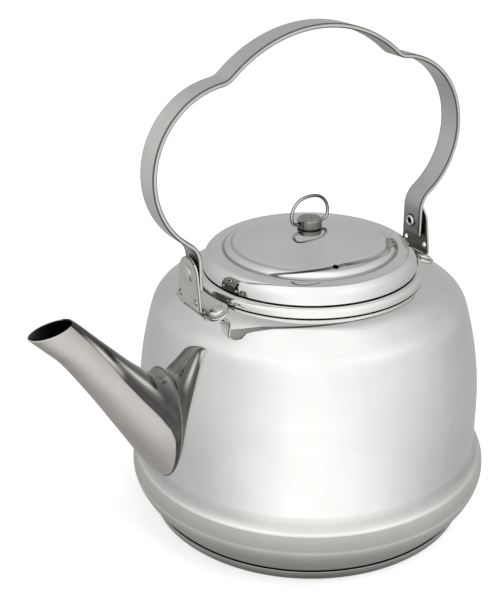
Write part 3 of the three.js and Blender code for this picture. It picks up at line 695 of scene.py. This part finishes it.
def bracketMesh():
    # Ear: a plate with a round head, spun on round the bend from its straight lower edge
    bm = bmesh.new()
    face, top, bend = bracket["earFace"], bracket["earTop"], bracket["bendMiddle"]
    radius, half, steps = bracket["earRadius"], bracket["earHalf"], bracket["earSteps"]
    lean = atan2(half - radius, top - bracket["earFoot"])
    turns = [lean + (pi - 2 * lean) * i / steps for i in range(steps + 1)]
    head = [(face, radius * cos(turn), top + radius * sin(turn)) for turn in turns]
    edges = addLine(bm, [(face, half, bend), *head, (face, -half, bend)], closed=True)[1]
    bmesh.ops.contextual_create(bm, geom=edges)
    lower = edges[-1]
    bent = bmesh.ops.spin(
        bm, geom=[lower, *lower.verts], cent=Vector((face - bracket["bendRadius"], 0, bend)) * mm,
        axis=(0, 1, 0), angle=radians(bracket["bendTurn"]), steps=bracket["bendSteps"])
    last = [item for item in bent["geom_last"] if isinstance(item, bmesh.types.BMEdge)]
    run = bracket["bendRun"]
    drawOut(bm, last, Vector((-run, 0, run * wall["slope"])) * mm)
    bmesh.ops.remove_doubles(bm, verts=bm.verts, dist=samePlace)
    faceOut(bm, lambda item: item.calc_area(), (1, 0, 0))
    # Foot: two curved lines, bridged, with round ends
    middle, halfWidth, steps = bracket["footMiddle"], bracket["footWidth"] / 2, bracket["footSteps"]
    full = radians(bracket["footAngle"]) * middle + halfWidth
    rise = bracket["footRise"] + bracket["sheet"] * sqrt(1 + wall["slope"] ** 2)
    inner, outer = [], []
    for i in range(steps + 1):
        along = sin((-1 + 2 * i / steps) * pi / 2) * full
        past = max(0, abs(along) - (full - halfWidth))
        reach = sqrt(max(halfWidth ** 2 - past ** 2, bracket["footTip"] ** 2))
        turn = along / middle
        inBend = abs(middle * sin(turn)) < half - bracket["insetMargin"]
        for line, radius in ((inner, middle - reach),
                             (outer, bracket["inset"] if inBend else middle + reach)):
            line.append((radius * cos(turn), radius * sin(turn), shoulderAt(radius) + rise))
    edges = addLine(bm, inner)[1] + addLine(bm, outer)[1]
    for item in bmesh.ops.bridge_loops(bm, edges=edges)["faces"]:
        item.normal_update()
        if item.normal.z < 0:
            item.normal_flip()
    return bm


def mountBracket(name, node, turn):
    piece = toObject(name, bracketMesh(), [stampedSteel, scaledSteel, buffedSteel])
    addWall(piece, bracket["sheet"], inside=1, edge=2)
    x, length = bracket["holeMiddle"], bracket["holeLength"]
    y, z = bracket["reliefPlace"]
    holes = [((x, side * y, z), (1, 0, 0), bracket["relief"], length) for side in (-1, 1)]
    holes.append(((x, 0, bracket["earTop"]), (1, 0, 0), bracket["pivotHole"], length))
    drill(piece, holes)
    piece.data.transform(Matrix.Rotation(turn, 4, "Z"))
    # The rounding takes the shaded plate: painted dark outlines round every edge
    addRounding(piece, bracket["rounding"], material=1, use_clamp_overlap=False)
    register(piece, "kettle", "bracket_steel", node)


mountBracket("rearBracket", "rear_bracket", 0)
mountBracket("frontBracket", "front_bracket", pi)

# Rivets, drawn upright with the sheet's face at height zero, then put in place
rivets = {
    "foot": [(0, 3.1), (2.2, 3.05), (3.3, 2.75), (3.9, 2.2), (4.0, 1.8), (1.7, 1.8), (1.7, -0.9),
             (2.8, -0.9), (2.7, -1.5), (2.2, -1.8), (0, -1.8)],
    "pivot": [(0, 1.5), (2.2, 1.35), (3.6, 0.9), (4.4, 0.35), (4.5, 0.1), (2.5, 0.1), (2.5, -5.4),
              (3.2, -5.4), (3.1, -6.2), (2.6, -6.7), (2.0, -6.6), (1.7, -6.2), (1.7, -3.7),
              (0, -3.7)],
    "washer": [(2.6, 0), (5.5, 0), (5.5, 0.8), (2.6, 0.8)], "washerPlace": 72.8,
    "bore": 1.72, "boreStart": -3,  # inside this radius and below this height the rivet takes painted shade
    "rounding": 0.12, "angle": 30,
}


def mountTurned(name, line, move, node, slot, material, closed=False):
    bm = spun(line, smallSteps, closed)
    for face in bm.faces:
        middle = face.calc_center_median() / mm
        inBore = middle.xy.length < rivets["bore"] and middle.z < rivets["boreStart"]
        face.material_index = int(inBore)
    bmesh.ops.transform(bm, matrix=move, verts=bm.verts)
    piece = toObject(name, bm, [material, scaledSteel])
    addRounding(piece, rivets["rounding"], rivets["angle"])
    register(piece, "kettle", slot, node)


footReach, footAngle = bracket["footMiddle"], bracket["footAngle"]
footSeat = Matrix.Translation(Vector((footReach, 0, shoulderAt(footReach))) * mm)
footLean = Matrix.Rotation(atan2(wall["slope"], 1), 4, "Y")
for name, node, turn in (("frontRightFootRivet", "front_right_foot_rivet", 180 + footAngle),
                         ("frontLeftFootRivet", "front_left_foot_rivet", 180 - footAngle),
                         ("rearRightFootRivet", "rear_right_foot_rivet", -footAngle),
                         ("rearLeftFootRivet", "rear_left_foot_rivet", footAngle)):
    move = Matrix.Rotation(radians(turn), 4, "Z") @ footSeat @ footLean
    mountTurned(name, rivets["foot"], move, node, "rivet_steel", buffedSteel)
lay = Matrix.Rotation(pi / 2, 4, "Y")
for side, turn in (("rear", 0), ("front", pi)):
    aside = Matrix.Rotation(turn, 4, "Z")
    outer, inner = (Matrix.Translation(Vector((reach, 0, bracket["earTop"])) * mm)
                    for reach in (bracket["earFace"], rivets["washerPlace"]))
    mountTurned(side + "PivotRivet", rivets["pivot"], aside @ outer @ lay,
                side + "_pivot_rivet", "rivet_steel", buffedSteel)
    mountTurned(side + "PivotWasher", rivets["washer"], aside @ inner @ lay,
                side + "_pivot_washer", "bracket_steel", stampedSteel, True)
print("kettle: brackets and rivets made")

# Spout: oval rings from lip to wall, joined and ended on the wall's own curve.
# Each row is top run, top drop, bottom run, bottom drop, widening, egg, as shares.
spout = {
    "lip": (-151.95, 142.6), "lipLength": 24.0, "lipTilt": 12.0, "lipWidth": 15.8,
    "baseTop": 106.0, "baseBottom": 38.6, "baseWidth": 42.0, "wallX": -86.7,
    "rows": [(0, 0, 0, 0, 0, 0), (0.085, 0.115, 0.105, 0.085, 0.09, 0),
             (0.2, 0.285, 0.21, 0.175, 0.24, 0), (0.38, 0.545, 0.38, 0.375, 0.46, 0.1),
             (0.56, 0.8, 0.555, 0.6, 0.68, 0.3), (0.67, 0.94, 0.7, 0.79, 0.83, 0.6),
             (0.745, 1.05, 0.79, 0.9, 0.91, 0.8), (0.81, 1.085, 0.86, 0.958, 0.96, 0.9),
             (0.885, 1.07, 0.92, 0.985, 1, 1), (1, 1, 1, 1, 1.02, 1)],
    "rowSteps": 12, "egg": 0.13, "sides": 144, "loops": 54,
    "slack": 1e-6,  # in millimetres, so that rounding doesn't lose the last place of a line
    "sheet": 0.8, "rounding": 0.3, "angle": 50,
    "weld": 0.45, "weldStep": 1.6, "weldSwell": 0.08,
    # Share of the way from lip to wall, and degrees from the top that carry the painted reflection
    # there
    "burnish": [(0, 41), (0.14, 49), (0.27, 56), (0.41, 64), (0.5, 69), (0.68, 72), (0.86, 72.5),
                (0.93, 78), (0.97, 92), (1, 150)],
    # Painted shade across that zone, from its ridge to its edge
    "shade": [(0, 0.5), (0.12, 0.34), (0.3, 0.17), (0.45, 0.1), (0.6, 0.09), (0.72, 0.14),
              (0.8, 0.09), (0.9, 0.12), (1.0, 0.08), (1.1, 0.1)],
    # Painted highlights in it, as bright streaks: where one starts and ends on the way, its place
    # across, its width and its shade
    "paintedHighlights": [(0.38, 0.9, 0.55, 0.085, 0.85), (0.1, 0.52, 0.87, 0.13, 1.0)],
}
tilt = radians(spout["lipTilt"])
lipHalf = Vector((cos(tilt), sin(tilt))) * spout["lipLength"] / 2
lipTop = Vector(spout["lip"]) + lipHalf
lipBottom = Vector(spout["lip"]) - lipHalf
spoutRows = through(spout["rows"], spout["rowSteps"])


def mixed(start, end, share):
    return start + (end - start) * share


# Place on a row of the spout, where turn 0 is its top
def spoutPlace(row, turn):
    topRun, topDrop, bottomRun, bottomDrop, widening, egg = row
    top = Vector((mixed(lipTop.x, spout["wallX"], topRun),
                  mixed(lipTop.y, spout["baseTop"], topDrop)))
    bottom = Vector((mixed(lipBottom.x, spout["wallX"], bottomRun),
                     mixed(lipBottom.y, spout["baseBottom"], bottomDrop)))
    width = mixed(spout["lipWidth"], spout["baseWidth"], widening) / 2
    across = sin(turn) * (1 + egg * spout["egg"] * cos(turn))
    along = (top + bottom) / 2 + (top - bottom) / 2 * cos(turn)
    return Vector((along.x, width * across, along.y))


# Value between the marks of a list of (place, value)
def between(marks, spot):
    for (start, low), (end, high) in zip(marks, marks[1:]):
        if spot <= end:
            return mixed(low, high, max(0, (spot - start) / (end - start)))
    return marks[-1][1]


# How far a place is from the spout's ridge, where 1 is the edge of its painted reflection,
# and its painted shade there
def burnishAt(share, turn):
    aside = abs((degrees(turn) + 180) % 360 - 180) / between(spout["burnish"], share)
    shade = between(spout["shade"], aside)
    for start, end, middle, width, bright in spout["paintedHighlights"]:
        along = sin(pi * min(1, max(0, (share - start) / (end - start))))
        across = exp(-((aside - middle) / width) ** 2)
        shade = mixed(shade, bright, along * across)
    return aside, shade


# One side line of the spout, cut where it meets the wall and shared out evenly
def spoutColumn(turn):
    places = [spoutPlace(row, turn) for row in spoutRows]
    kept = [places[0]]
    for before, here in zip(places, places[1:]):
        outside = here.xy.length - wallAt(here.z)
        if outside < 0:
            ahead = before.xy.length - wallAt(before.z)
            kept.append(before.lerp(here, ahead / (ahead - outside)))
            break
        kept.append(here)
    lengths = [0]
    for before, here in zip(kept, kept[1:]):
        lengths.append(lengths[-1] + (here - before).length)
    column = []
    for i in range(spout["loops"] + 1):
        want = lengths[-1] * i / spout["loops"]
        reached = (n for n, length in enumerate(lengths) if length >= want - spout["slack"])
        step = max(next(reached, len(kept) - 1), 1)
        share = (want - lengths[step - 1]) / (lengths[step] - lengths[step - 1])
        column.append(kept[step - 1].lerp(kept[step], share))
    return column


turns = [2 * pi * i / spout["sides"] for i in range(spout["sides"])]
columns = [spoutColumn(turn) for turn in turns]
bm = bmesh.new()
burnishLayer = bm.verts.layers.float.new("burnish")
shadeLayer = bm.verts.layers.float_color.new("shade")
loops = []
for i in range(spout["loops"] + 1):
    verts, edges = addLine(bm, [column[i] for column in columns], closed=True)
    for vert, turn in zip(verts, turns):
        aside, shade = burnishAt(i / spout["loops"], turn)
        vert[burnishLayer] = aside
        vert[shadeLayer] = grey(shade)
    loops.append(edges)
for near, far in zip(loops, loops[1:]):
    bmesh.ops.bridge_loops(bm, edges=near + far)
faceOut(bm, lambda face: -face.calc_center_median().z, (0, 0, -1))
spoutTube = toObject("spoutTube", bm, [spoutSteel, pressedSteel, weldSteel])
addWall(spoutTube, spout["sheet"], inside=1)
addRounding(spoutTube, spout["rounding"], spout["angle"])
settle(spoutTube)

# Bead of the weld, slightly rippled, joined to the spout's mesh
seam = [column[-1] for column in columns]
seamLength = sum((a - b).length for a, b in zip(seam, seam[1:] + seam[:1]))
ripples = round(seamLength / spout["weldStep"])
swell = [1 + spout["weldSwell"] * sin(2 * pi * ripples * i / len(seam)) for i in range(len(seam))]
bm = roundWire("weldWire", seam, spout["weld"], True, swell)
weldIndex = spoutTube.data.materials.find(weldSteel.name)
for face in bm.faces:
    face.material_index = weldIndex
    face.smooth = True
bm.from_mesh(spoutTube.data)
bm.to_mesh(spoutTube.data)
bm.free()
register(spoutTube, "kettle", "polished_steel", "spout")
print("kettle: spout made")

# Camera, as it was fitted to the photograph
camera = {
    "place": (-333.782, -484.925, 390.192), "turn": -31.325, "rise": 24.548, "roll": -0.482,
    "lens": 69.885, "sensor": 36, "farEnd": 50,  # the far end in metres
}
turn, rise, roll = (radians(camera[key]) for key in ("turn", "rise", "roll"))
back = Vector((sin(turn) * cos(rise), -cos(turn) * cos(rise), sin(rise)))
right = Vector((cos(turn), sin(turn), 0))
up = back.cross(right)
rolled = Matrix((right * cos(roll) + up * sin(roll), up * cos(roll) - right * sin(roll), back))
lens = bpy.data.cameras.new("photoCamera")
lens.lens = camera["lens"]
lens.sensor_width = camera["sensor"]
lens.clip_end = camera["farEnd"]
viewer = bpy.data.objects.new("photoCamera", lens)
stand = Matrix.Translation(Vector(camera["place"]) * mm)
viewer.matrix_world = stand @ rolled.transposed().to_4x4()
bpy.context.scene.collection.objects.link(viewer)
bpy.context.scene.camera = viewer

# Studio: for each height above or below level, what steel sees round the kettle.
# Turns are degrees from the camera's side, and 1 is white paper in full light.
studio = {
    "cameraTurn": degrees(atan2(camera["place"][1], camera["place"][0])),
    "full": 1.25,
    "bands": [
        (-85, [(-180, 0.16), (180, 0.16)]),
        (-62, [(-180, 0.32), (0, 0.38), (180, 0.32)]),
        (-50, [(-180, 0.38), (-90, 0.48), (0, 0.75), (90, 0.5), (180, 0.38)]),
        (-38, [(-180, 0.54), (-160, 0.46), (-130, 0.45), (-100, 0.5), (-70, 0.61), (-50, 0.81),
               (-30, 1.03), (-10, 1.2), (10, 1.21), (30, 1.16), (50, 1.02), (70, 0.79),
               (90, 0.6), (110, 0.51), (130, 0.48), (155, 0.46), (180, 0.54)]),
        (-15, [(-180, 0.5), (-160, 0.48), (-130, 0.5), (-100, 0.56), (-70, 0.67), (-50, 0.79),
               (-30, 1.02), (-10, 1.2), (10, 1.2), (30, 1.13), (50, 0.97), (70, 0.82),
               (90, 0.68), (110, 0.56), (130, 0.51), (155, 0.5), (180, 0.5)]),
        (3, [(-180, 0.49), (-150, 0.48), (-130, 0.55), (-110, 0.61), (-90, 0.66), (-70, 0.73),
             (-50, 0.84), (-30, 1.02), (-10, 1.16), (10, 1.17), (30, 1.11), (50, 1.0),
             (70, 0.86), (90, 0.75), (110, 0.65), (130, 0.56), (150, 0.51), (180, 0.49)]),
        (15, [(-180, 0.51), (-150, 0.49), (-130, 0.56), (-110, 0.63), (-90, 0.68), (-70, 0.79),
              (-50, 0.9), (-30, 1.06), (-10, 1.19), (10, 1.2), (30, 1.14), (50, 1.05),
              (70, 0.9), (90, 0.76), (110, 0.67), (130, 0.6), (150, 0.51), (180, 0.51)]),
        (35, [(-180, 0.53), (-150, 0.54), (-130, 0.62), (-110, 0.66), (-90, 0.8), (-70, 0.94),
              (-50, 1.15), (-10, 1.2), (50, 1.2), (70, 1.06), (90, 0.9), (110, 0.74),
              (130, 0.66), (150, 0.55), (180, 0.53)]),
        (55, [(-180, 0.51), (-150, 0.58), (-130, 0.66), (-110, 0.78), (-90, 0.95), (-70, 1.08),
              (-50, 1.18), (50, 1.2), (70, 1.12), (90, 0.98), (110, 0.88), (130, 0.84),
              (150, 0.62), (180, 0.51)]),
        (66, [(-180, 0.52), (-150, 0.66), (-120, 0.95), (-90, 1.1), (0, 1.2), (90, 1.1),
              (120, 1.0), (150, 0.75), (180, 0.52)]),
        (75, [(-180, 1.18), (180, 1.18)]),
    ],
    "roomLight": 0.62,
    "floorGlow": 0.56, "floorColour": "#efefee",
    # In metres and watts
    "floorHalf": 6, "floorDrop": 0.0002, "floorSteps": 8,
    "keyPower": 9, "keySize": 1.1, "keyPlace": (0.35, -0.75, 1.7), "keyTarget": (0, 0, 0.1),
}
world = bpy.data.worlds.new("softStudio")
bpy.context.scene.world = world
world.use_nodes = True
tree = world.node_tree
tree.nodes.clear()
direction = addNode(tree, "ShaderNodeTexCoord").outputs["Generated"]
facing = addNode(tree, "ShaderNodeVectorRotate", {"Angle": -radians(studio["cameraTurn"])},
                 {"Vector": direction}, rotation_type="Z_AXIS")
axes = addNode(tree, "ShaderNodeSeparateXYZ", links={0: facing.outputs[0]})
around = addNode(tree, "ShaderNodeMath", links={0: axes.outputs["Y"], 1: axes.outputs["X"]},
                 operation="ARCTAN2")
share = addNode(tree, "ShaderNodeMapRange", {"From Min": -pi, "From Max": pi},
                {"Value": around.outputs[0]})
height = addNode(tree, "ShaderNodeMath", links={0: axes.outputs["Z"]}, operation="ARCSINE")
seen, lastLevel = None, None
for level, stops in studio["bands"]:
    ramp = addNode(tree, "ShaderNodeValToRGB", links={"Fac": share.outputs[0]})
    band = setStops(ramp, [
        ((turn + 180) / 360, grey(value / studio["full"])) for turn, value in stops])
    if seen is None:
        seen = band
    else:
        blend = addNode(tree, "ShaderNodeMapRange", {
            "From Min": radians(lastLevel), "From Max": radians(level)}, {
            "Value": height.outputs[0]})
        seen = addNode(tree, "ShaderNodeMix", links={
            mixShare: blend.outputs[0], colourA: seen, colourB: band},
            data_type="RGBA").outputs[mixedColour]
    lastLevel = level
path = addNode(tree, "ShaderNodeLightPath")
mirrored = addNode(tree, "ShaderNodeMath", links={
    0: path.outputs["Is Glossy Ray"], 1: path.outputs["Is Transmission Ray"]},
    operation="MAXIMUM")
room = addNode(tree, "ShaderNodeBackground", {
    "Color": grey(1), "Strength": studio["roomLight"]})
panorama = addNode(tree, "ShaderNodeBackground", {"Strength": studio["full"]}, {"Color": seen})
white = addNode(tree, "ShaderNodeBackground", {"Color": grey(1), "Strength": 1.0})
lit = addNode(tree, "ShaderNodeMixShader", links={
    0: mirrored.outputs[0], 1: room.outputs[0], 2: panorama.outputs[0]})
whole = addNode(tree, "ShaderNodeMixShader", links={
    0: path.outputs["Is Camera Ray"], 1: lit.outputs[0], 2: white.outputs[0]})
addNode(tree, "ShaderNodeOutputWorld", links={"Surface": whole.outputs[0]})

# Floor: pale paper that glows a little, so that it is white outside the shadow
paper = bpy.data.materials.new("paleFloorPaper")
paper.use_nodes = True
tree = paper.node_tree
tree.nodes.clear()
matt = addNode(tree, "ShaderNodeBsdfDiffuse", {"Color": hexColour(studio["floorColour"])})
glow = addNode(tree, "ShaderNodeEmission", {"Strength": studio["floorGlow"]})
both = addNode(tree, "ShaderNodeAddShader", links={0: matt.outputs[0], 1: glow.outputs[0]})
addNode(tree, "ShaderNodeOutputMaterial", links={"Surface": both.outputs[0]})
bm = bmesh.new()
bmesh.ops.create_grid(bm, x_segments=studio["floorSteps"], y_segments=studio["floorSteps"],
                      size=studio["floorHalf"],
                      matrix=Matrix.Translation((0, 0, -studio["floorDrop"])))
floor = toObject("studioFloor", bm, [paper])
floor.visible_glossy = False

# Key lamp, for the soft shadow on the floor; the steel doesn't mirror it
key = bpy.data.lights.new("keyLight", "AREA")
key.energy = studio["keyPower"]
key.size = studio["keySize"]
keyHolder = bpy.data.objects.new("keyLight", key)
keyHolder.location = studio["keyPlace"]
keyAim = Vector(studio["keyPlace"]) - Vector(studio["keyTarget"])
keyHolder.rotation_euler = keyAim.to_track_quat("Z", "Y").to_euler()
keyHolder.visible_glossy = False
bpy.context.scene.collection.objects.link(keyHolder)
bpy.context.scene.view_settings.view_transform = "Standard"
print("kettle: camera and studio made")
